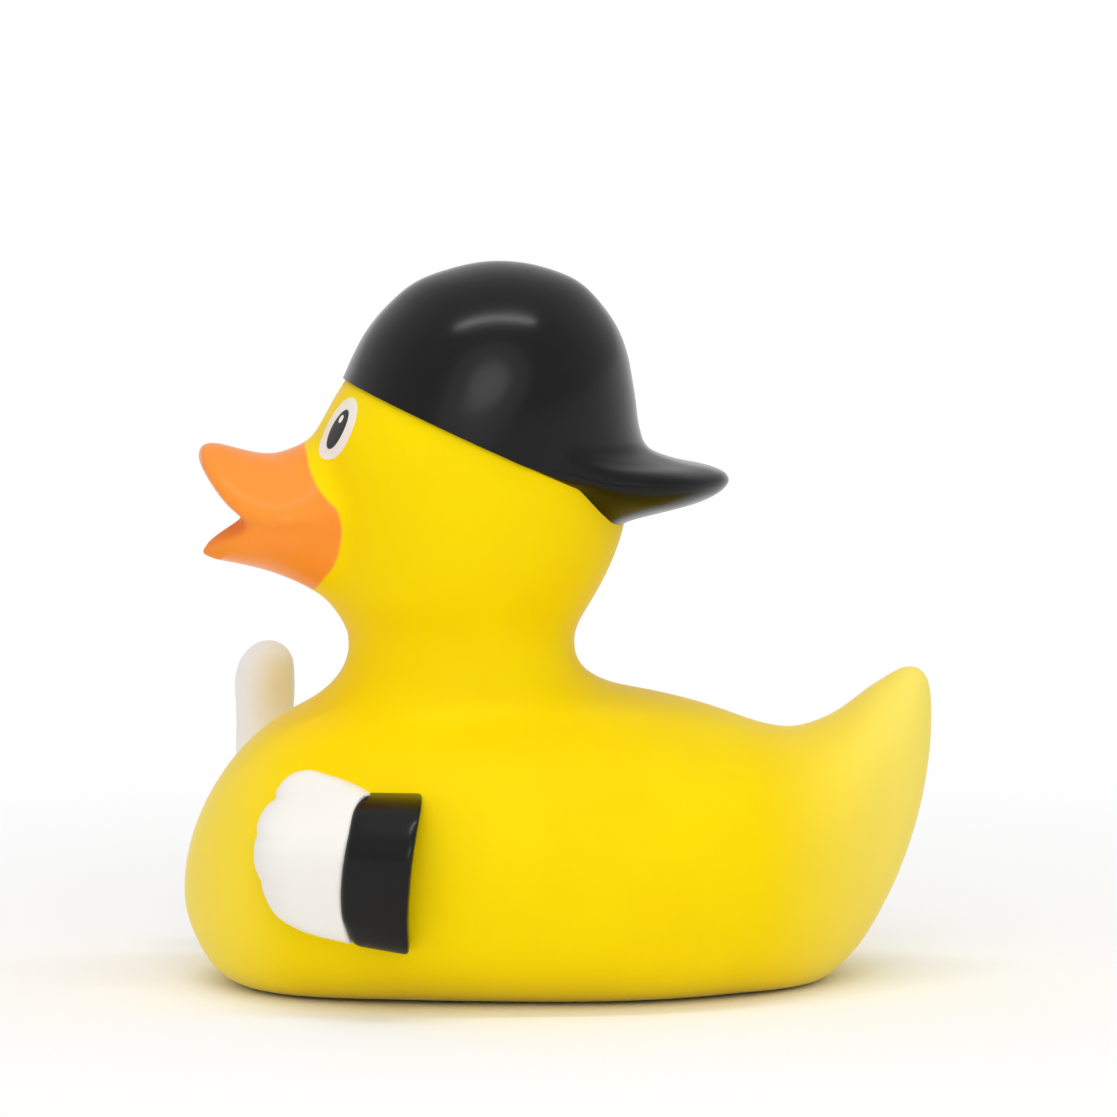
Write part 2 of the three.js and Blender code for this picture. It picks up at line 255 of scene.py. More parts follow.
@dataclass(frozen=True)
class Head(Form):
    """Neck and head, from inside the shoulders up."""

    front: Outline = Outline((
        (29.0, -32.0), (31.0, -29.6), (32.6, -27.2), (34.2, -25.4), (36.1, -24.1), (38.3, -23.7),
        (40.4, -24.1), (43.2, -26.0), (46.0, -27.1), (50.0, -27.9), (55.0, -28.2), (59.0, -28.0),
        (62.3, -27.4), (65.1, -26.0), (67.8, -24.3), (70.5, -22.7), (73.3, -20.9), (76.0, -18.6),
        (78.8, -15.2), (80.2, -12.0), (81.2, -6.6),
    ))
    back: Outline = Outline((
        (29.0, 16.5), (31.5, 12.0), (33.4, 6.8), (34.9, 3.5), (36.4, 2.2), (38.4, 1.8),
        (40.4, 2.2), (43.2, 3.8), (45.9, 5.3), (48.6, 6.5), (51.4, 7.4), (54.0, 7.9),
        (58.0, 8.5), (62.0, 8.7), (65.0, 8.6), (67.8, 8.2), (70.5, 7.4), (73.3, 6.2),
        (76.0, 4.4), (78.8, 1.6), (80.2, -1.2), (81.2, -6.6),
    ))
    half_width: Outline = Outline((
        (29.0, 21.4), (32.8, 15.6), (35.2, 13.7), (38.4, 12.9), (41.0, 13.5), (44.0, 15.0),
        (48.0, 16.6), (53.0, 17.4), (58.0, 17.7), (63.0, 17.4), (68.0, 16.4), (73.0, 14.2),
        (77.0, 10.8), (79.8, 6.6), (81.2, 0.0),
    ))
    neck_height: float = 38.4
    collar_drop: float = 3.0

    @property
    def crown(self) -> float:
        """Height of the top of the head."""
        return self.front.knots[-1][0]

    def ring(self, z: float, angle: float) -> Vector:
        """A point of the level ring at a height.

        Args:
            z: The height, in millimetres.
            angle: Turn around the head from the nape, in radians.

        Returns:
            The point, in millimetres.
        """
        front, back = self.front.at(z), self.back.at(z)
        return Vector((
            (front + back) / 2.0 + (back - front) / 2.0 * math.cos(angle),
            self.half_width.at(z) * math.sin(angle),
            z,
        ))

    def place(self, axial: float, radial: float, angle: float) -> Vector:
        """See Form.place."""
        floor = self.front.knots[0][0]
        z = floor + (self.crown - floor) * (1.0 + axial) / 2.0
        if radial == 0.0:
            return (self.ring(z, 0.0) + self.ring(z, math.pi)) / 2.0
        below = max((self.neck_height - z) / (self.neck_height - floor), 0.0)
        drop = self.collar_drop * below**2 * math.sin(angle) ** 2
        return self.ring(z, angle) - Vector((0.0, 0.0, drop))


@dataclass(frozen=True)
class BillHalf(Form):
    """Half of the bill, from inside the head to its tip; its edge is the widest line."""

    edge: Outline
    top: Outline
    bottom: Outline
    half_width: Outline
    roof: Outline | None = None
    power: float = 2.2

    def place(self, axial: float, radial: float, angle: float) -> Vector:
        """See Form.place."""
        start, end = self.edge.knots[0][0], self.edge.knots[-1][0]
        x = start + (end - start) * (1.0 + axial) / 2.0
        above = math.sin(angle) >= 0.0
        middle = self.edge.at(x)
        reach = self.top.at(x) - middle if above else middle - self.bottom.at(x)
        wide, high = bent(math.cos(angle), self.power), bent(math.sin(angle), self.power)
        if above and self.roof:
            wide = math.cos(angle)
            high = self.roof.at(1.0 - abs(2.0 * angle / math.pi - 1.0))
        full = 1.0 if radial > 0.0 else 0.0
        return Vector((x, full * self.half_width.at(x) * wide, middle + full * reach * high))


@dataclass(frozen=True)
class Bill:
    """Both halves of the open bill. The upper one slopes like a roof to a rounded lip."""

    upper: BillHalf = BillHalf(
        edge=Outline((
            (-19.7, 52.7), (-31.5, 52.85), (-34.3, 53.1), (-35.9, 53.75), (-37.2, 54.7),
            (-38.8, 56.55), (-40.1, 58.5), (-40.8, 59.9),
        )),
        top=Outline((
            (-19.7, 64.5), (-25.5, 63.0), (-28.8, 61.2), (-32.2, 60.0), (-35.6, 60.5),
            (-38.6, 61.3), (-40.1, 61.3), (-40.8, 59.9),
        )),
        bottom=Outline((
            (-19.7, 52.1), (-31.5, 52.3), (-34.3, 52.6), (-35.9, 53.3), (-37.2, 54.25),
            (-38.8, 56.15), (-40.1, 58.2), (-40.8, 59.9),
        )),
        half_width=Outline((
            (-19.7, 8.0), (-23.5, 9.8), (-26.0, 11.4), (-28.5, 12.3), (-31.3, 12.3), (-34.5, 11.6),
            (-37.4, 9.8), (-39.4, 7.2), (-40.4, 4.4), (-40.8, 0.0),
        )),
        roof=Outline((
            (0.0, 0.0), (0.1275, 0.125), (0.256, 0.26), (0.41, 0.44), (0.59, 0.68), (0.806, 0.93),
            (1.0, 1.0), (1.194, 0.93),
        ), eased=False),
    )
    lower: BillHalf = BillHalf(
        edge=Outline((
            (-19.7, 52.6), (-32.5, 52.75), (-34.3, 52.6), (-35.6, 51.9), (-37.45, 50.8),
            (-39.2, 49.85), (-40.4, 48.9),
        )),
        top=Outline((
            (-19.7, 53.2), (-32.5, 53.25), (-34.3, 52.85), (-35.6, 52.2), (-37.45, 51.15),
            (-39.2, 50.1), (-40.4, 48.9),
        )),
        bottom=Outline((
            (-19.7, 42.6), (-24.5, 43.0), (-26.8, 43.9), (-28.6, 45.0), (-31.8, 46.45),
            (-36.6, 47.75), (-39.2, 48.25), (-40.4, 48.9),
        )),
        half_width=Outline((
            (-19.7, 7.5), (-23.5, 9.2), (-26.0, 10.6), (-28.5, 11.3), (-33.0, 10.9), (-36.4, 9.2),
            (-38.8, 6.6), (-39.9, 3.9), (-40.4, 0.0),
        )),
    )


@dataclass(frozen=True)
class CapShell(Form):
    """Crown and visor in one skin, which runs down from the crown to its edge and back underneath.

    Its outlines around the head are given by degrees from the nape.
    """

    head: Head = Head()
    rim_height: float = 57.45
    rim_slope: float = -0.452
    coat: Outline = Outline((
        (45.0, 0.35), (55.0, 0.35), (64.0, 0.35), (68.4, 0.38), (70.5, 0.65), (73.5, 0.9),
        (76.5, 0.95), (79.0, 0.85), (80.5, 0.6), (81.2, 0.5),
    ), eased=False)
    side_coat: float = 0.5
    tuck: float = 0.8
    brow_height: float = 62.0
    flare_height: float = 8.7
    edge_share: float = 0.66
    join_share: float = 0.9
    ring_power: float = 1.5
    tuck_power: float = 7.0
    heart: Point = (-8.0, 0.0, 60.0)
    reach: Outline = Outline((
        (-7.8, 10.35), (0.0, 10.75), (7.8, 10.35), (15.0, 9.3), (24.2, 7.6), (33.7, 5.3),
        (45.2, 2.7), (57.4, 0.45), (62.0, 0.12), (66.0, 0.0), (70.0, 0.0), (74.0, 0.0), (180.0, 0.0),
    ), eased=False)
    lift: Outline = Outline((
        (-10.0, 2.95), (0.0, 3.06), (10.0, 2.95), (20.0, 2.5), (32.0, 1.9), (39.0, 1.55),
        (45.0, 1.3), (50.6, 1.2), (55.6, 1.25), (60.6, 1.1), (66.0, 0.6), (72.0, 0.15), (76.0, 0.0),
        (80.0, 0.0), (84.0, 0.0), (180.0, 0.0),
    ), eased=False)
    drop: Outline = Outline((
        (-10.0, 2.0), (0.0, 1.95), (12.0, 2.1), (22.0, 2.3), (28.5, 2.28), (33.3, 1.97),
        (38.2, 1.59), (42.0, 1.17), (45.4, 0.78), (48.5, 0.37), (52.0, 0.0), (55.0, 0.0),
        (59.0, 0.0), (180.0, 0.0),
    ), eased=False)
    flare: Outline = Outline((
        (0.0, 1.0), (0.034, 0.991), (0.126, 0.907), (0.19, 0.753), (0.253, 0.492), (0.328, 0.287),
        (0.397, 0.158), (0.489, 0.081), (0.655, 0.029), (0.9, 0.0), (1.0, 0.0),
    ), eased=False)
    hull: Outline = Outline((
        (0.0, 1.0), (0.05, 0.997), (0.11, 0.984), (0.31, 0.888), (0.506, 0.69), (0.686, 0.38),
        (0.788, 0.19), (0.86, 0.08), (1.0, 0.0),
    ), eased=False)
    crease: Outline = Outline((
        (0.0, 0.0), (24.0, 0.0), (30.0, 0.03), (36.0, 0.12), (52.0, 0.16), (58.0, 0.12), (63.0, 0.03),
        (68.0, 0.0), (72.0, 0.0), (180.0, 0.0),
    ), eased=False)
    crease_width: float = 0.16
    AROUND = 192
    ALONG = 144
    RIM_ROUNDS = 6

    def _crown(self, z: float, angle: float) -> Vector:
        """A point of the crown, outside the head by the thickness of the cap.

        Args:
            z: Height of the ring of the head, in millimetres.
            angle: Turn around the head from the nape, in radians.

        Returns:
            The point, in millimetres.
        """
        crown = self.head.crown
        share = min(max((crown - z) / (crown - self.brow_height), 0.0), 1.0)
        level = math.sin(math.pi / 2.0 * math.sqrt(share))
        outward = Vector((
            math.cos(angle) * level, math.sin(angle) * level, math.sqrt(1.0 - level * level)
        ))
        coat = self.side_coat + (self.coat.at(z) - self.side_coat) * math.cos(angle) ** 2
        return self.head.ring(z, angle) + coat * outward

    def _rim(self, angle: float) -> float:
        """Height of the rim's plane on the crown, which falls towards the nape.

        Args:
            angle: Turn around the head from the nape, in radians.

        Returns:
            The height, in millimetres.
        """
        z = self.brow_height
        for _ in range(self.RIM_ROUNDS):
            z = self.rim_height + self.rim_slope * self._crown(z, angle).x
        return z

    def place(self, axial: float, radial: float, angle: float) -> Vector:
        """See Form.place."""
        share = math.acos(axial) / math.pi
        turned = math.degrees(abs(angle))
        rim, reach = self._rim(angle), self.reach.at(turned)
        edge, join = rim + self.lift.at(turned), rim - self.drop.at(turned)
        if share <= self.edge_share:
            fall = 1.0 - (1.0 - share / self.edge_share) ** self.ring_power
            z = edge + (self.head.crown - edge) * math.cos(math.pi / 2.0 * fall)
            out = reach * self.flare.at((z - edge) / self.flare_height)
            out -= self.crease.at(turned) * swell(z - edge - self.crease_width, self.crease_width)
        else:
            fall = min((share - self.edge_share) / (self.join_share - self.edge_share), 1.0)
            fall = fall**self.ring_power
            z = edge + (join - edge) * fall
            late = 1.0 + self.tuck_power * min(edge - join, 1.0)
            out = reach * self.hull.at(fall) - self.tuck * fall**late
        point = self._crown(z, angle) + out * Vector((math.cos(angle), math.sin(angle), 0.0))
        inside = max((share - self.join_share) / (1.0 - self.join_share), 0.0)
        return point.lerp(Vector(self.heart), inside)


@dataclass(frozen=True)
class ArmFrame:
    """Place of an arm on its flank. Arms run forwards along -X, with their outer face along +Y."""

    side: Side
    wrist_x: float = -23.9
    height: float = 16.6
    turn: float = math.radians(24.0)
    proud: float = 4.0
    depth: float = 12.0
    lean: float = 0.11
    slant: float = 0.37
    sleeve: Outline = Outline((
        (-9.4, 3.6), (-8.8, 4.3), (-7.5, 5.0), (-5.0, 5.75), (-2.0, 6.15), (0.2, 6.25), (2.0, 6.0),
        (3.1, 5.5), (4.0, 4.85), (4.8, 4.15), (5.6, 3.35), (6.3, 2.45), (6.9, 1.45), (7.4, 0.1),
        (7.75, -2.8),
    ))
    face: float = 6.25
    cuff_front: Outline = Outline((
        (-9.4, 2.4), (-8.9, 1.85), (-8.1, 1.5), (-7.2, 1.1), (-5.8, 0.6), (-4.6, 0.3), (-2.6, 0.0),
        (1.8, 0.0), (4.0, 0.2), (6.1, 0.45), (6.9, 0.75), (7.35, 1.15), (7.6, 1.6), (7.75, 2.3),
    ))
    cuff_back: Outline = Outline((
        (-9.4, 8.9), (-6.0, 8.35), (-1.0, 8.1), (4.0, 8.25), (7.75, 8.6),
    ), eased=False)

    @cached_property
    def _wrist(self) -> Vector:
        """Works out where the wrist is, sunk in the right flank.

        Returns:
            Middle of the wrist, in millimetres.
        """
        sunk = self.depth / 2.0 - self.proud
        flank = Trunk().half_width.at(self.wrist_x)
        return Vector((
            self.wrist_x + sunk * math.sin(self.turn),
            flank - sunk * math.cos(self.turn),
            self.height,
        ))

    def to_duck(self, point: Vector, leans: bool = True) -> Vector:
        """A point of the arm in the duck's frame.

        Args:
            point: The point along the arm, in millimetres.
            leans: Whether it leans back with the arm.

        Returns:
            The same point on the flank.
        """
        lean = self.lean * point.z - self.slant * (self.face - point.y) if leans else 0.0
        leant = point + Vector((lean, 0.0, 0.0))
        placed = Matrix.Rotation(self.turn, 3, "Z") @ leant + self._wrist
        return Vector((placed.x, placed.y * self.side.value, placed.z))


@dataclass(frozen=True)
class Crease:
    """A crease across the hand, between two fingers."""

    height: float
    depth: float
    width: float

    def at(self, z: float) -> float:
        """Depth of the crease at a height."""
        return self.depth * swell(z - self.height, self.width)


@dataclass(frozen=True)
class Hand(Form):
    """Closed hand. Its front line carries the knuckles, and its back is inside the cuff."""

    arm: ArmFrame
    front: Outline = Outline((
        (-8.4, 2.4), (-8.0, -0.6), (-7.6, -3.0), (-6.8, -5.65), (-6.05, -7.1), (-5.2, -8.05),
        (-3.9, -8.9), (-2.8, -9.45), (-1.7, -9.9), (-0.65, -10.45), (0.4, -10.7), (1.6, -10.8),
        (2.9, -10.7), (3.9, -10.7), (4.9, -10.45), (5.9, -9.9), (6.7, -9.2), (7.5, -9.0),
        (8.4, -8.5), (9.15, -7.8), (9.6, -7.0), (9.85, -6.0), (9.9, -5.2),
    ))
    back: Outline = Outline((
        (-8.4, 2.4), (-7.8, 3.4), (0.0, 3.4), (6.2, 3.4), (7.0, 3.2), (7.7, 2.5), (8.3, 1.5),
        (8.8, 0.1), (9.3, -1.7), (9.6, -3.2), (9.85, -4.5), (9.9, -5.2),
    ))
    face: Outline = Outline((
        (-8.4, 3.0), (-8.0, 4.1), (-7.0, 4.9), (-5.0, 5.45), (-2.0, 5.85), (0.2, 5.95), (2.0, 5.75),
        (3.1, 5.25), (4.0, 4.65), (4.8, 4.0), (5.6, 3.2), (6.3, 2.45), (7.0, 1.75), (8.0, 0.8),
        (9.0, -0.2), (9.7, -1.0), (9.9, -1.6),
    ))
    creases: tuple[Crease, ...] = (
        Crease(6.9, 0.22, 0.45), Crease(2.8, 0.14, 0.4), Crease(-2.2, 0.14, 0.45),
    )
    crease_turn: float = 0.8
    face_crease: float = 0.5
    inner: float = -6.0
    dive: float = 1.6
    dive_reach: Span = (-0.05, 0.8)
    top_slope: float = 0.11
    slope_reach: Span = (3.0, 9.0)
    power: float = 3.6

    def place(self, axial: float, radial: float, angle: float) -> Vector:
        """See Form.place."""
        low, high = self.front.knots[0][0], self.front.knots[-1][0]
        z = low + (high - low) * (1.0 + axial) / 2.0
        front, back = self.front.at(z), self.back.at(z)
        wide, deep = math.cos(angle), math.sin(angle)
        pinch = sum(crease.at(z) for crease in self.creases)
        ahead = step(-wide, 0.0, self.crease_turn)
        full = 1.0 if radial > 0.0 else 0.0
        x = (front + back) / 2.0
        x += full * ((back - front) / 2.0 * bent(wide, self.power) + pinch * ahead)
        outer = self.face.at(z) - self.face_crease * pinch * ahead
        outer -= self.dive * step(x - self.arm.cuff_front.at(z), *self.dive_reach)
        y = (outer + self.inner) / 2.0 + full * (outer - self.inner) / 2.0 * bent(deep, self.power)
        fall = self.top_slope * (outer - y) * step(z, *self.slope_reach)
        return self.arm.to_duck(Vector((x, y, z - fall)))


@dataclass(frozen=True)
class RaisedFinger(Form):
    """Finger held straight up from the front of the right hand."""

    arm: ArmFrame
    x: float = -9.4
    y: float = 2.6
    tip_shift: float = 0.5
    tip_start: float = 15.0
    power: float = 2.2
    radius: Outline = Outline((
        (-3.0, 0.0), (-1.5, 2.4), (4.0, 3.3), (11.0, 3.3), (15.4, 3.4), (17.6, 3.0),
        (19.1, 1.9), (19.8, 0.0),
    ))

    def place(self, axial: float, radial: float, angle: float) -> Vector:
        """See Form.place."""
        low, high = self.radius.knots[0][0], self.radius.knots[-1][0]
        z = low + (high - low) * (1.0 + axial) / 2.0
        size = self.radius.at(z)
        x = self.x + self.tip_shift * step(z, self.tip_start, high)
        x += size * bent(math.cos(angle), self.power)
        y = self.y + size * bent(math.sin(angle), self.power)
        return self.arm.to_duck(Vector((x, y, z)), leans=False)


@dataclass(frozen=True)
class Cuff(Form):
    """Cuff of the sleeve: bowed in front, cut straight across the duck at the back."""

    arm: ArmFrame
    inner: float = -8.0
    hem_rise: float = 1.0
    hem_reach: Span = (5.0, 8.0)
    power: float = 14.0
    AROUND = 192
    ALONG = 128

    def place(self, axial: float, radial: float, angle: float) -> Vector:
        """See Form.place."""
        low, high = self.arm.cuff_front.knots[0][0], self.arm.cuff_front.knots[-1][0]
        slim, tall = squared(radial, axial, self.power)
        wide, deep = squared(math.cos(angle), math.sin(angle), self.power)
        z = (low + high) / 2.0 + tall * (high - low) / 2.0
        outer = self.arm.sleeve.at(z)
        middle = (outer + self.inner) / 2.0
        y = middle + slim * (outer - middle) * deep
        front, back = self.arm.cuff_front.at(z), self.arm.cuff_back.at(z)
        x = (front + back) / 2.0 + slim * (back - front) / 2.0 * wide
        rise = self.hem_rise * (back - x) / back * step(-z, *self.hem_reach)
        return self.arm.to_duck(Vector((x, y, z + rise)))


@dataclass(frozen=True)
class EyeFrame:
    """Place, size and turn of a printed eye on the side of the face."""

    side: Side
    centre: Point = (-25.18, 7.19, 63.36)
    facing: Point = (-0.79, 0.408, 0.458)
    half_width: float = 3.15
    half_height: float = 3.8
    tilt: float = math.radians(19.0)

    def axes(self) -> tuple[Vector, Vector, Vector]:
        """Works out how the eye is turned.

        Returns:
            Across, up and outward directions of the eye, on its own side.
        """
        outward = Vector(self.facing).normalized()
        across = Vector((0.0, 0.0, 1.0)).cross(outward).normalized()
        up = outward.cross(across)
        turn = Matrix.Rotation(self.tilt, 3, outward)
        return tuple(
            Vector((v.x, v.y * self.side.value, v.z)) for v in (turn @ across, turn @ up, outward)
        )

    def origin(self) -> Vector:
        """Centre of the eye, in millimetres."""
        x, y, z = self.centre
        return Vector((x, y * self.side.value, z))


@dataclass(frozen=True)
class EyePrint(Form):
    """A thin printed oval that follows the face."""

    eye: EyeFrame
    face: BVHTree
    proud: float = 0.06
    sunk: float = 0.7
    edge_power: int = 10
    cast: float = 15.0
    AROUND = 64
    ALONG = 40

    def place(self, axial: float, radial: float, angle: float) -> Vector:
        """See Form.place."""
        across, up, outward = self.eye.axes()
        offset = across * (radial * self.eye.half_width * math.cos(angle))
        offset += up * (radial * self.eye.half_height * math.sin(angle))
        start = self.eye.origin() + offset + outward * self.cast
        hit = self.face.ray_cast(start * MM, -outward)[0]
        surface = hit / MM if hit else self.eye.origin() + offset
        height = self.proud if axial >= 0.0 else -self.sunk
        return surface + outward * (height * (1.0 - radial**self.edge_power))


Number = Union["Value", float]


class Value:
    """A number that changes over a surface, with Python arithmetic."""

    def __init__(self, graph: "Graph", socket: bpy.types.NodeSocket) -> None:
        """Wraps an output socket.

        Args:
            graph: The material's nodes.
            socket: The socket that gives the number.
        """
        self.graph = graph
        self.socket = socket

    def _math(self, operation: str, *terms: Number) -> "Value":
        """A Math node of that operation on the terms."""
        made = self.graph.node("ShaderNodeMath", {"operation": operation}, dict(enumerate(terms)))
        return Value(self.graph, made.outputs[0])

    def __add__(self, other: Number) -> "Value":
        """Sum."""
        return self._math("ADD", self, other)

    def __radd__(self, other: Number) -> "Value":
        """Sum."""
        return self._math("ADD", other, self)

    def __sub__(self, other: Number) -> "Value":
        """Difference."""
        return self._math("SUBTRACT", self, other)

    def __rsub__(self, other: Number) -> "Value":
        """Difference from a number."""
        return self._math("SUBTRACT", other, self)

    def __mul__(self, other: Number) -> "Value":
        """Product."""
        return self._math("MULTIPLY", self, other)

    def __rmul__(self, other: Number) -> "Value":
        """Product."""
        return self._math("MULTIPLY", other, self)

    def __truediv__(self, other: Number) -> "Value":
        """Quotient."""
        return self._math("DIVIDE", self, other)

    def __rtruediv__(self, other: Number) -> "Value":
        """Quotient of a number."""
        return self._math("DIVIDE", other, self)

    def __pow__(self, other: Number) -> "Value":
        """Power."""
        return self._math("POWER", self, other)

    def __rpow__(self, other: Number) -> "Value":
        """Power of a number."""
        return self._math("POWER", other, self)

    def most(self, other: Number) -> "Value":
        """The larger of two numbers."""
        return self._math("MAXIMUM", self, other)

    def ramp(self, low: float, high: float) -> "Value":
        """A smooth step.

        Args:
            low: Where it is 0.
            high: Where it is 1.

        Returns:
            The step.
        """
        made = self.graph.node(
            "ShaderNodeMapRange",
            {"interpolation_type": "SMOOTHSTEP"},
            {"Value": self, "From Min": low, "From Max": high, "To Min": 0.0, "To Max": 1.0},
        )
        return Value(self.graph, made.outputs[0])


class Graph:
    """The nodes of one material."""

    def __init__(self, name: str) -> None:
        """Makes an empty material.

        Args:
            name: Name of the material.
        """
        self.material = bpy.data.materials.new(name)
        self.material.use_nodes = True
        self.tree = self.material.node_tree
        self.tree.nodes.clear()

    def node(
        self, kind: str, settings: Mapping[str, Any], inputs: Mapping[Union[int, str], Any]
    ) -> bpy.types.Node:
        """Adds a node.

        Args:
            kind: Type of the node.
            settings: Its settings, or the points of a curve.
            inputs: Values or links of its sockets, by name or number.

        Returns:
            The node.
        """
        made = self.tree.nodes.new(kind)
        for key, value in settings.items():
            if key == "points":
                self._set_points(made.mapping, value)
            else:
                setattr(made, key, value)
        for key, value in inputs.items():
            if isinstance(value, Value):
                value = value.socket
            if isinstance(value, bpy.types.NodeSocket):
                self.tree.links.new(value, made.inputs[key])
            else:
                made.inputs[key].default_value = value
        return made

    @staticmethod
    def _set_points(mapping: bpy.types.CurveMapping, points: Knots) -> None:
        """Sets the points of a curve.

        Args:
            mapping: The curve.
            points: Its points, from 0 to 1.
        """
        curve = mapping.curves[0]
        while len(curve.points) < len(points):
            curve.points.new(0.5, 0.5)
        for point, place in zip(curve.points, points):
            point.location = place
        mapping.update()

    def value(self, node: bpy.types.Node, output: Union[int, str] = 0) -> Value:
        """One output of a node as a number."""
        return Value(self, node.outputs[output])

    def place(self) -> tuple[bpy.types.NodeSocket, Value, Value, Value]:
        """Reads Object coordinates.

        Returns:
            The vector in metres, and X, Y and Z in millimetres.
        """
        vector = self.node("ShaderNodeTexCoord", {}, {}).outputs["Object"]
        parts = self.node("ShaderNodeSeparateXYZ", {}, {0: vector})
        x, y, z = (self.value(parts, i) * (1.0 / MM) for i in range(3))
        return vector, x, y, z

    def noise(self, vector: bpy.types.NodeSocket, size: float, detail: float = 2.0) -> Value:
        """Soft noise.

        Args:
            vector: Object coordinates, in metres.
            size: About how wide its patches are, in millimetres.
            detail: How many finer layers it has.

        Returns:
            The noise, from 0 to 1.
        """
        made = self.node(
            "ShaderNodeTexNoise", {}, {"Vector": vector, "Scale": 1.0 / (size * MM), "Detail": detail}
        )
        return self.value(made, "Fac")

    def blend(self, share: Value, low: Any, high: Any) -> bpy.types.NodeSocket:
        """A colour between two colours.

        Args:
            share: 0 for the low colour, 1 for the high one.
            low: A colour or a colour socket.
            high: A colour or a colour socket.

        Returns:
            The mixed colour.
        """
        low, high = ((*c, 1.0) if isinstance(c, tuple) else c for c in (low, high))
        made = self.node("ShaderNodeMix", {"data_type": "RGBA"}, {0: share, 6: low, 7: high})
        return made.outputs[2]

    def bump(self, height: Value, distance: float, strength: float) -> bpy.types.NodeSocket:
        """A bumped normal.

        Args:
            height: Height from 0 to 1.
            distance: Height of a full step, in millimetres.
            strength: Strength of the effect.

        Returns:
            The normal.
        """
        made = self.node(
            "ShaderNodeBump", {}, {"Strength": strength, "Distance": distance * MM, "Height": height}
        )
        return made.outputs[0]

    def shader(self, constants: Mapping[str, Any], varying: Mapping[str, Any]) -> bpy.types.NodeSocket:
        """A surface shader.

        Args:
            constants: Sockets that are the same all over.
            varying: Sockets that change over the surface.

        Returns:
            The shader.
        """
        return self.node("ShaderNodeBsdfPrincipled", {}, {**constants, **varying}).outputs[0]

    def finish(self, shader: bpy.types.NodeSocket) -> bpy.types.Material:
        """Puts a shader on the material's surface and gives the material."""
        self.node("ShaderNodeOutputMaterial", {}, {"Surface": shader})
        return self.material


@dataclass(frozen=True)
class Unevenness:
    """How a moulded or painted surface varies: broad mottle, soft ripples and fine grain."""

    mottle_size: float
    ripple_size: float
    grain_size: float
    ripple_share: float
    strength: float
    depth: float = 0.05
    grain_detail: float = 3.0
    ripple_detail: float = 1.0

    def add_to(
        self, graph: Graph, vector: bpy.types.NodeSocket
    ) -> tuple[Value, Value, bpy.types.NodeSocket]:
        """Adds the unevenness to a material.

        Args:
            graph: The material's nodes.
            vector: Object coordinates, in metres.

        Returns:
            Mottle and grain, both from 0 to 1, and the bumped normal.
        """
        mottle = graph.noise(vector, self.mottle_size)
        grain = graph.noise(vector, self.grain_size, self.grain_detail)
        ripple = graph.noise(vector, self.ripple_size, self.ripple_detail)
        height = ripple * self.ripple_share + grain * (1.0 - self.ripple_share)
        return mottle, grain, graph.bump(height, self.depth, self.strength)


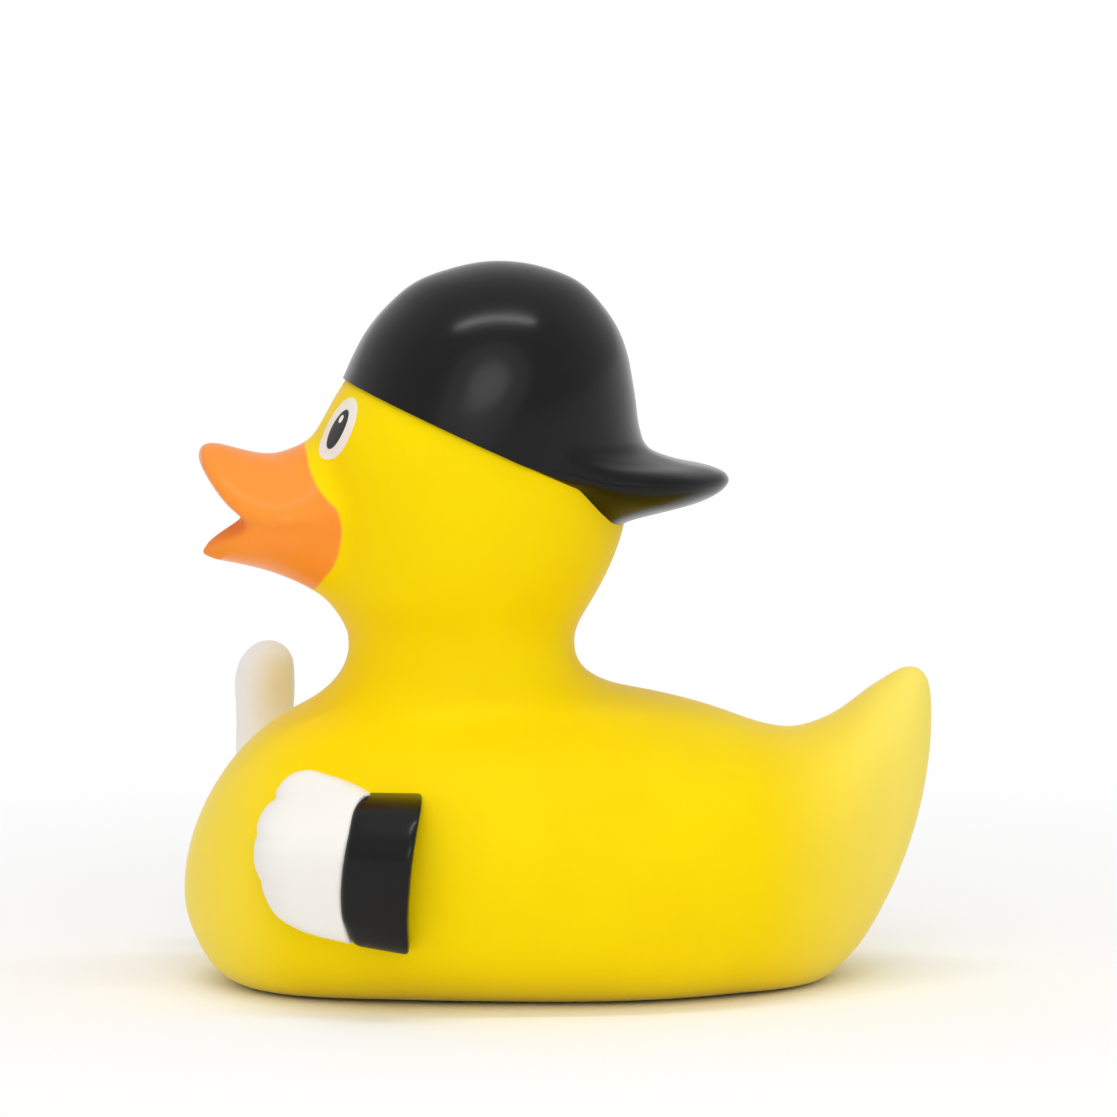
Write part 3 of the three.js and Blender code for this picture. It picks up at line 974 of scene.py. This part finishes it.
@dataclass(frozen=True)
class DuckSkin:
    """Yellow soft vinyl with an orange painted bill. Painted light makes the yellow paler and whiter
    towards the tail and the breast.

    The breast's fade of painted light and the mouth's reach are measured forwards, along -X.
    """

    yellow: Colour = (0.93, 0.685, 0.0)
    deep_yellow: Colour = (0.91, 0.655, 0.0)
    # Painted light: the yellow turns paler and whiter towards the tail and the breast.
    painted_light_yellow: Colour = (0.93, 0.76, 0.14)
    orange: Colour = (0.95, 0.30, 0.035)
    deep_orange: Colour = (0.93, 0.275, 0.03)
    mottle_band: Span = (0.3, 0.7)
    tail_light_fade: Span = (20.0, 44.0)
    breast_light_fade: Span = (30.0, 43.0)
    breast_light_share: float = 0.55
    unevenness: Unevenness = Unevenness(
        mottle_size=14.0, ripple_size=3.0, grain_size=0.35, ripple_share=0.7, strength=0.35
    )
    grain_roughness: float = 0.08
    vinyl_roughness: float = 0.46
    vinyl_specular: float = 0.05
    sheen: float = 0.3
    sheen_roughness: float = 0.25
    paint_roughness: float = 0.26
    paint_specular: float = 0.16
    mouth_roughness: float = 0.5
    mouth_slope: float = 0.66
    mouth_rise: float = 75.2
    mouth_fade: Span = (0.5, 3.0)
    mouth_reach: Span = (33.5, 35.5)
    edge_blur: float = 0.25
    wobble: float = 0.3
    wobble_size: float = 2.2
    paint_limits: Span = (-31.0, -21.0)
    paint_edge: Knots = (
        (40.0, -30.6), (43.4, -28.8), (45.3, -27.5), (46.5, -26.7), (47.9, -25.8), (50.0, -25.05),
        (51.2, -24.9), (52.1, -24.88), (53.1, -25.0), (54.4, -25.4), (55.2, -26.1), (56.1, -26.95),
        (57.8, -27.9), (59.6, -28.5), (61.1, -28.7), (66.0, -30.0),
    )

    def material(self) -> bpy.types.Material:
        """Builds the nodes of the finish.

        Returns:
            The material.
        """
        graph = Graph("duck_skin")
        vector, x, _, z = graph.place()
        mottle, grain, normal = self.unevenness.add_to(graph, vector)
        mottle = mottle.ramp(*self.mottle_band)
        ahead = x * -1.0
        # Painted light: a paler, whiter yellow towards the tail and the breast.
        painted_light = x.ramp(*self.tail_light_fade).most(ahead.ramp(*self.breast_light_fade) * self.breast_light_share)
        yellow = graph.blend(mottle, self.yellow, self.deep_yellow)
        vinyl = graph.shader(
            {
                "Specular IOR Level": self.vinyl_specular,
                "Sheen Weight": self.sheen,
                "Sheen Roughness": self.sheen_roughness,
            },
            {
                "Base Color": graph.blend(painted_light, yellow, self.painted_light_yellow),
                "Roughness": grain * self.grain_roughness + self.vinyl_roughness,
                "Normal": normal,
            },
        )
        gap = z - (x * self.mouth_slope + self.mouth_rise)
        mouth = (1.0 - (gap * gap).ramp(*self.mouth_fade)) * ahead.ramp(*self.mouth_reach)
        dulled = mouth * self.mouth_roughness
        paint = graph.shader(
            {"Specular IOR Level": self.paint_specular},
            {
                "Base Color": graph.blend(mottle, self.orange, self.deep_orange),
                "Roughness": grain * self.grain_roughness + self.paint_roughness + dulled,
                "Normal": normal,
            },
        )
        painted = self._painted(graph, vector, x, z)
        mixed = graph.node("ShaderNodeMixShader", {}, {0: painted, 1: vinyl, 2: paint})
        return graph.finish(mixed.outputs[0])

    def _painted(self, graph: Graph, vector: bpy.types.NodeSocket, x: Value, z: Value) -> Value:
        """Where the bill's paint lies, which ends in a slightly uneven edge on the face.

        Args:
            graph: The material's nodes.
            vector: Object coordinates, in metres.
            x: X in millimetres.
            z: Z in millimetres.

        Returns:
            1 on the paint and 0 on bare vinyl.
        """
        low, high = self.paint_edge[0][0], self.paint_edge[-1][0]
        far, near = self.paint_limits
        points = tuple(((h - low) / (high - low), (e - far) / (near - far)) for h, e in self.paint_edge)
        share = (z - low) / (high - low)
        curve = graph.value(graph.node("ShaderNodeFloatCurve", {"points": points}, {"Value": share}))
        noise = graph.noise(vector, self.wobble_size, detail=1.0)
        edge = curve * (near - far) + far + (noise * self.wobble - self.wobble / 2.0)
        return (edge - x).ramp(-self.edge_blur, self.edge_blur)


@dataclass(frozen=True)
class Paint:
    """One colour of satin paint on the moulding."""

    name: str
    colour: Colour
    worn_colour: Colour
    roughness: float
    specular: float
    unevenness: Unevenness = Unevenness(
        mottle_size=9.0, ripple_size=2.4, grain_size=0.3, ripple_share=0.75, strength=0.25
    )
    worn_band: Span = (0.35, 0.75)
    mottle_roughness: float = 0.06
    grain_roughness: float = 0.05

    def material(self) -> bpy.types.Material:
        """Builds the nodes of the finish.

        Returns:
            The material.
        """
        graph = Graph(self.name)
        vector, *_ = graph.place()
        mottle, grain, normal = self.unevenness.add_to(graph, vector)
        uneven = mottle * self.mottle_roughness + grain * self.grain_roughness
        worn = mottle.ramp(*self.worn_band)
        return graph.finish(graph.shader(
            {"Specular IOR Level": self.specular},
            {
                "Base Color": graph.blend(worn, self.colour, self.worn_colour),
                "Roughness": uneven + self.roughness,
                "Normal": normal,
            },
        ))


BLACK_PAINT = Paint(
    name="black_paint",
    colour=(0.0035, 0.003, 0.003),
    worn_colour=(0.005, 0.0045, 0.0045),
    roughness=0.15,
    specular=0.24,
)
WHITE_PAINT = Paint(
    name="white_paint",
    colour=(0.88, 0.855, 0.81),
    worn_colour=(0.86, 0.835, 0.78),
    roughness=0.37,
    specular=0.3,
)


@dataclass(frozen=True)
class Oval:
    """An oval on an eye: its centre and half sizes, in millimetres."""

    across: float
    up: float
    half_width: float
    half_height: float
    soft_edge: Span = (0.93, 1.07)

    def mask(self, a: Value, b: Value) -> Value:
        """1 inside the oval and 0 outside, for places across and up the eye."""
        wide, high = (a - self.across) / self.half_width, (b - self.up) / self.half_height
        return 1.0 - (wide**2.0 + high**2.0).ramp(*self.soft_edge)


@dataclass(frozen=True)
class EyeInk:
    """Ink of the printed eyes: a white oval, a black pupil and a small glint."""

    white: Colour = (0.86, 0.80, 0.72)
    worn_share: float = 0.97
    black: Colour = (0.010, 0.010, 0.011)
    pupil: Oval = Oval(-0.19, -0.1, 1.5, 2.45)
    glint: Oval = Oval(0.15, 1.05, 0.42, 0.5)
    specular: float = 0.35
    roughness: float = 0.33
    mottle_size: float = 1.5
    mottle_roughness: float = 0.06

    def material(self, eye: EyeFrame) -> bpy.types.Material:
        """Builds the nodes of the finish.

        Args:
            eye: Place of the eye.

        Returns:
            The material.
        """
        graph = Graph(f"eye_ink_{eye.side.name.lower()}")
        vector, *_ = graph.place()
        across, up, _ = eye.axes()
        a, b = (self._along(graph, vector, eye.origin(), axis) for axis in (across, up))
        mottle = graph.noise(vector, self.mottle_size)
        white = graph.blend(mottle, self.white, tuple(self.worn_share * c for c in self.white))
        inked = graph.blend(self.pupil.mask(a, b), white, self.black)
        return graph.finish(graph.shader(
            {"Specular IOR Level": self.specular},
            {
                "Base Color": graph.blend(self.glint.mask(a, b), inked, self.white),
                "Roughness": mottle * self.mottle_roughness + self.roughness,
            },
        ))

    @staticmethod
    def _along(graph: Graph, vector: bpy.types.NodeSocket, origin: Vector, axis: Vector) -> Value:
        """Measures along an axis of the eye.

        Args:
            graph: The material's nodes.
            vector: Object coordinates, in metres.
            origin: Centre of the eye, in millimetres.
            axis: The axis.

        Returns:
            Distance from the eye's centre along the axis, in millimetres.
        """
        made = graph.node(
            "ShaderNodeVectorMath", {"operation": "DOT_PRODUCT"}, {0: vector, 1: tuple(axis)}
        )
        return graph.value(made, "Value") * (1.0 / MM) - origin.dot(axis)


class Moulding:
    """Makes pieces of the duck from forms."""

    RELAX = 0.5

    @staticmethod
    def placed(name: str, bm: bmesh.types.BMesh) -> bpy.types.Object:
        """Puts a bmesh into the scene as an object at the origin.

        Args:
            name: Name of the object.
            bm: Its shape, in metres. It is freed.

        Returns:
            The object.
        """
        mesh = bpy.data.meshes.new(name)
        bm.to_mesh(mesh)
        bm.free()
        made = bpy.data.objects.new(name, mesh)
        bpy.context.scene.collection.objects.link(made)
        return made

    @staticmethod
    def applied(piece: bpy.types.Object) -> None:
        """Applies a piece's modifiers to its mesh.

        Args:
            piece: The piece.
        """
        before = piece.data
        graph = bpy.context.evaluated_depsgraph_get()
        piece.data = bpy.data.meshes.new_from_object(piece.evaluated_get(graph))
        piece.modifiers.clear()
        bpy.data.meshes.remove(before)
        piece.data.name = piece.name

    @staticmethod
    @contextmanager
    def opened(piece: bpy.types.Object) -> Iterator[bmesh.types.BMesh]:
        """Opens a piece's mesh for changes and then closes it with smooth faces.

        Args:
            piece: The piece.

        Yields:
            The open mesh, in metres.
        """
        bm = bmesh.new()
        bm.from_mesh(piece.data)
        yield bm
        for face in bm.faces:
            face.smooth = True
        bm.to_mesh(piece.data)
        bm.free()
        piece.data.update()

    @staticmethod
    def single(name: str, form: Form) -> bpy.types.Object:
        """A piece of one form.

        Args:
            name: Name of the piece.
            form: The form.

        Returns:
            The piece.
        """
        bm = bmesh.new()
        form.add_to(bm)
        for face in bm.faces:
            face.smooth = True
        return Moulding.placed(name, bm)

    @staticmethod
    def fused(name: str, forms: Iterable[Form], voxel: float) -> bpy.types.Object:
        """A piece of overlapping forms that are fused into one skin.

        Args:
            name: Name of the piece.
            forms: The forms.
            voxel: Spacing of the new skin, in millimetres.

        Returns:
            The piece.
        """
        bm = bmesh.new()
        for form in forms:
            form.add_to(bm)
        piece = Moulding.placed(name, bm)
        remesh = piece.modifiers.new("Fuse", "REMESH")
        remesh.mode = "VOXEL"
        remesh.voxel_size = voxel * MM
        remesh.adaptivity = 0.0
        Moulding.applied(piece)
        return piece

    @staticmethod
    def smooth(bm: bmesh.types.BMesh, verts: Iterable[bmesh.types.BMVert], passes: int) -> None:
        """Relaxes points towards their neighbours.

        Args:
            bm: The mesh.
            verts: The points.
            passes: How often it is done.
        """
        chosen = list(verts)
        for _ in range(passes):
            bmesh.ops.smooth_vert(
                bm,
                verts=chosen,
                factor=Moulding.RELAX,
                use_axis_x=True,
                use_axis_y=True,
                use_axis_z=True,
            )


@dataclass(frozen=True)
class Zone:
    """A stretch of the body that is smoothed once more, between two X and two Z."""

    x: Span
    z: Span
    passes: int

    def smooth(self, bm: bmesh.types.BMesh) -> None:
        """Smooths the zone.

        Args:
            bm: The body, in metres.
        """
        (front, back), (low, high) = self.x, self.z
        chosen = [v for v in bm.verts if front < v.co.x / MM < back and low < v.co.z / MM < high]
        Moulding.smooth(bm, chosen, self.passes)


@dataclass
class DuckBody:
    """Trunk, neck, head and bill: the yellow moulding with its painted bill."""

    trunk: Trunk = field(default_factory=Trunk)
    head: Head = field(default_factory=Head)
    bill: Bill = field(default_factory=Bill)
    voxel: float = 0.53
    passes: int = 4
    collar: tuple[Zone, ...] = (
        Zone((-37.0, 23.0), (22.0, 39.0), 20),
        Zone((-37.0, 23.0), (25.0, 37.0), 20),
        Zone((-37.0, 23.0), (27.0, 35.0), 20),
    )
    bill_root: tuple[Zone, ...] = (
        Zone((-30.0, -20.0), (40.0, 66.0), 10),
        Zone((-30.0, -22.0), (40.0, 66.0), 12),
        Zone((-30.0, -24.0), (40.0, 66.0), 12),
    )
    lips: Zone = Zone((-math.inf, -32.0), (44.0, math.inf), 5)
    base_rounding: float = 1.0
    vent_x: float = -4.0
    vent_radius: float = 1.3
    vent_depth: float = 4.0
    vent_sides: int = 48
    rim_tolerance: float = 0.02

    def build(self) -> bpy.types.Object:
        """Builds and dresses the body.

        Returns:
            The piece.
        """
        forms = (self.trunk, self.head, self.bill.upper, self.bill.lower)
        piece = Moulding.fused("duck_body", forms, self.voxel)
        with Moulding.opened(piece) as bm:
            Moulding.smooth(bm, bm.verts, self.passes)
            for zone in (*self.collar, *self.bill_root, self.lips):
                zone.smooth(bm)
            self._flatten_base(bm)
        self._cut_vent(piece)
        piece.data.materials.append(DuckSkin().material())
        return piece

    def _flatten_base(self, bm: bmesh.types.BMesh) -> None:
        """Presses the belly flat on the ground, with a softly rounded edge.

        Args:
            bm: The body, in metres.
        """
        for vert in bm.verts:
            z = vert.co.z / MM
            if z < self.base_rounding:
                rise = max(z + self.base_rounding, 0.0)
                vert.co.z = MM * rise**2 / (4.0 * self.base_rounding)

    def _cut_vent(self, piece: bpy.types.Object) -> None:
        """Cuts the round vent into the base.

        Args:
            piece: The body.
        """
        bm = bmesh.new()
        bmesh.ops.create_cone(
            bm,
            cap_ends=True,
            segments=self.vent_sides,
            radius1=self.vent_radius * MM,
            radius2=self.vent_radius * MM,
            depth=2.0 * self.vent_depth * MM,
            matrix=Matrix.Translation((self.vent_x * MM, 0.0, 0.0)),
        )
        cutter = Moulding.placed("vent", bm)
        cut = piece.modifiers.new("Vent", "BOOLEAN")
        cut.object, cut.operation, cut.solver = cutter, "DIFFERENCE", "MANIFOLD"
        Moulding.applied(piece)
        bpy.data.meshes.remove(cutter.data)
        skin = piece.data
        skin.materials.clear()
        for face in skin.polygons:
            face.use_smooth = True
        rim = {v.index for v in skin.vertices if self._on_rim(v.co / MM)}
        for edge in skin.edges:
            edge.use_edge_sharp = rim.issuperset(edge.vertices)

    def _on_rim(self, point: Vector) -> bool:
        """Whether a point, in millimetres, lies on the vent's rim."""
        off = math.hypot(point.x - self.vent_x, point.y) - self.vent_radius
        return abs(off) < self.rim_tolerance and abs(point.z) < self.rim_tolerance


@dataclass
class Cap:
    """Black cap with its visor at the nape."""

    shell: CapShell = field(default_factory=CapShell)

    def build(self, finish: bpy.types.Material) -> bpy.types.Object:
        """Builds and dresses the cap.

        Args:
            finish: Black paint.

        Returns:
            The piece.
        """
        piece = Moulding.single("cap", self.shell)
        piece.data.materials.append(finish)
        return piece


@dataclass
class ArmPair:
    """Hands with curled fingers, in cuffs, on both flanks."""

    voxel: float = 0.24
    passes: int = 4

    def build(
        self, side: Side, white: bpy.types.Material, black: bpy.types.Material
    ) -> list[bpy.types.Object]:
        """Builds and dresses one hand and its cuff.

        Args:
            side: The flank.
            white: Paint of the hand.
            black: Paint of the cuff.

        Returns:
            The hand and the cuff.
        """
        arm = ArmFrame(side)
        name = side.name.lower()
        if side is Side.RIGHT:
            hand = Moulding.fused(f"{name}_hand", (Hand(arm), RaisedFinger(arm)), self.voxel)
            with Moulding.opened(hand) as bm:
                Moulding.smooth(bm, bm.verts, self.passes)
        else:
            hand = Moulding.single(f"{name}_hand", Hand(arm))
        hand.data.materials.append(white)
        cuff = Moulding.single(f"{name}_cuff", Cuff(arm))
        cuff.data.materials.append(black)
        return [hand, cuff]


@dataclass
class Eyes:
    """The two printed eyes."""

    ink: EyeInk = field(default_factory=EyeInk)

    def build(self, body: bpy.types.Object) -> list[bpy.types.Object]:
        """Builds and dresses both eyes.

        Args:
            body: The body whose face carries them.

        Returns:
            The left and the right eye.
        """
        bm = bmesh.new()
        bm.from_mesh(body.data)
        face = BVHTree.FromBMesh(bm)
        bm.free()
        made = []
        for side in Side:
            eye = EyeFrame(side)
            piece = Moulding.single(f"{side.name.lower()}_eye", EyePrint(eye, face))
            piece.data.materials.append(self.ink.material(eye))
            made.append(piece)
        return made


class LampShape(Enum):
    """Outline of a lamp."""

    ROUND = "ELLIPSE"
    SQUARE = "RECTANGLE"


@dataclass(frozen=True)
class Lamp:
    """A soft lamp that faces the duck. Its power is in watts."""

    name: str
    place: Point
    size: Span
    power: float
    shape: LampShape
    target: Point = (0.0, 0.0, 40.0)

    def build(self) -> None:
        """Hangs the lamp."""
        data = bpy.data.lights.new(self.name, "AREA")
        data.shape = self.shape.value
        data.size, data.size_y = (side * MM for side in self.size)
        data.energy = self.power
        lamp = bpy.data.objects.new(self.name, data)
        lamp.location = Vector(self.place) * MM
        towards = Vector(self.target) * MM - lamp.location
        lamp.rotation_euler = towards.to_track_quat("-Z", "Y").to_euler()
        bpy.context.scene.collection.objects.link(lamp)


@dataclass
class Studio:
    """White floor, soft light and the camera."""

    aim: Point = (0.11, 0.0, 47.9)
    azimuth: float = -4.0
    elevation: float = 5.0
    distance: float = 700.0
    pixels_per_mm: float = 8.81
    sensor: float = 36.0
    clip: Span = (10.0, 200000.0)
    sky: float = 0.72
    floor_reach: float = 20000.0
    wall_height: float = 4500.0
    floor_colour: Colour = (0.97, 0.97, 0.97)
    shadow_reach: Span = (60.0, 220.0)
    lamps: tuple[Lamp, ...] = (
        Lamp("softbox", (-45.0, -800.0, 590.0), (1150.0, 950.0), 1.5, LampShape.ROUND),
        Lamp("softbox_core", (-45.0, -770.0, 570.0), (480.0, 410.0), 1.0, LampShape.ROUND),
        Lamp("strip", (0.0, -130.0, 890.0), (700.0, 28.0), 1.4, LampShape.SQUARE),
    )

    def build(self) -> None:
        """Builds the floor, the world, the lamps and the camera."""
        bpy.context.scene.view_settings.view_transform = "Standard"
        self._floor()
        self._world()
        for lamp in self.lamps:
            lamp.build()
        self._camera()

    def _floor(self) -> None:
        """A white floor with low walls. Only its part near the duck shows a shadow."""
        bm = bmesh.new()
        bmesh.ops.create_grid(bm, x_segments=1, y_segments=1, size=self.floor_reach * MM)
        raised = bmesh.ops.extrude_edge_only(bm, edges=bm.edges[:])["geom"]
        bmesh.ops.translate(
            bm,
            vec=(0.0, 0.0, self.wall_height * MM),
            verts=[v for v in raised if isinstance(v, bmesh.types.BMVert)],
        )
        floor = Moulding.placed("floor", bm)
        floor.data.materials.append(self._floor_material())

    def _floor_material(self) -> bpy.types.Material:
        """Matt white that turns into plain white away from the duck.

        Returns:
            The material.
        """
        graph = Graph("floor_white")
        _, x, y, _ = graph.place()
        away = ((x * x + y * y) ** 0.5).ramp(*self.shadow_reach)
        path = graph.node("ShaderNodeLightPath", {}, {})
        rays = ("Is Camera Ray", "Is Glossy Ray", "Is Transmission Ray")
        camera, glossy, through = (graph.value(path, ray) for ray in rays)
        seen = camera.most(glossy).most(through)
        matt = graph.node("ShaderNodeBsdfDiffuse", {}, {"Color": (*self.floor_colour, 1.0)})
        white = graph.node("ShaderNodeEmission", {}, {"Strength": 1.0})
        mixed = graph.node(
            "ShaderNodeMixShader", {}, {0: seen * away, 1: matt.outputs[0], 2: white.outputs[0]}
        )
        return graph.finish(mixed.outputs[0])

    def _world(self) -> None:
        """An even, dim surround."""
        world = bpy.data.worlds.new("studio")
        world.use_nodes = True
        background = world.node_tree.nodes["Background"]
        background.inputs["Color"].default_value = (1.0, 1.0, 1.0, 1.0)
        background.inputs["Strength"].default_value = self.sky
        bpy.context.scene.world = world

    def _camera(self) -> None:
        """A long lens from the left, a little above and towards the front."""
        data = bpy.data.cameras.new("camera")
        data.sensor_width = self.sensor
        data.lens = self.sensor * self.distance * self.pixels_per_mm / PHOTO_SIDE
        data.clip_start, data.clip_end = (limit * MM for limit in self.clip)
        camera = bpy.data.objects.new("camera", data)
        turn, rise = math.radians(self.azimuth), math.radians(self.elevation)
        back = Vector((
            math.sin(turn) * math.cos(rise), -math.cos(turn) * math.cos(rise), math.sin(rise)
        ))
        camera.location = (Vector(self.aim) + back * self.distance) * MM
        camera.rotation_euler = (-back).to_track_quat("-Z", "Y").to_euler()
        bpy.context.scene.collection.objects.link(camera)
        bpy.context.scene.camera = camera


def main() -> None:
    """Builds the duck's pieces, dresses them and sets the studio."""
    logging.basicConfig(level=logging.INFO, format="%(message)s")
    body = DuckBody().build()
    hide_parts("duck_moulding")
    arms = ArmPair()
    black, white = BLACK_PAINT.material(), WHITE_PAINT.material()
    pieces = [body, Cap().build(black), *Eyes().build(body)]
    for side in Side:
        pieces += arms.build(side, white, black)
    for piece in pieces:
        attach(piece, "root")
        triangles = sum(len(face.vertices) - 2 for face in piece.data.polygons)
        log.info("%s: %d triangles", piece.name, triangles)
    Studio().build()


if __name__ == "__main__":
    main()
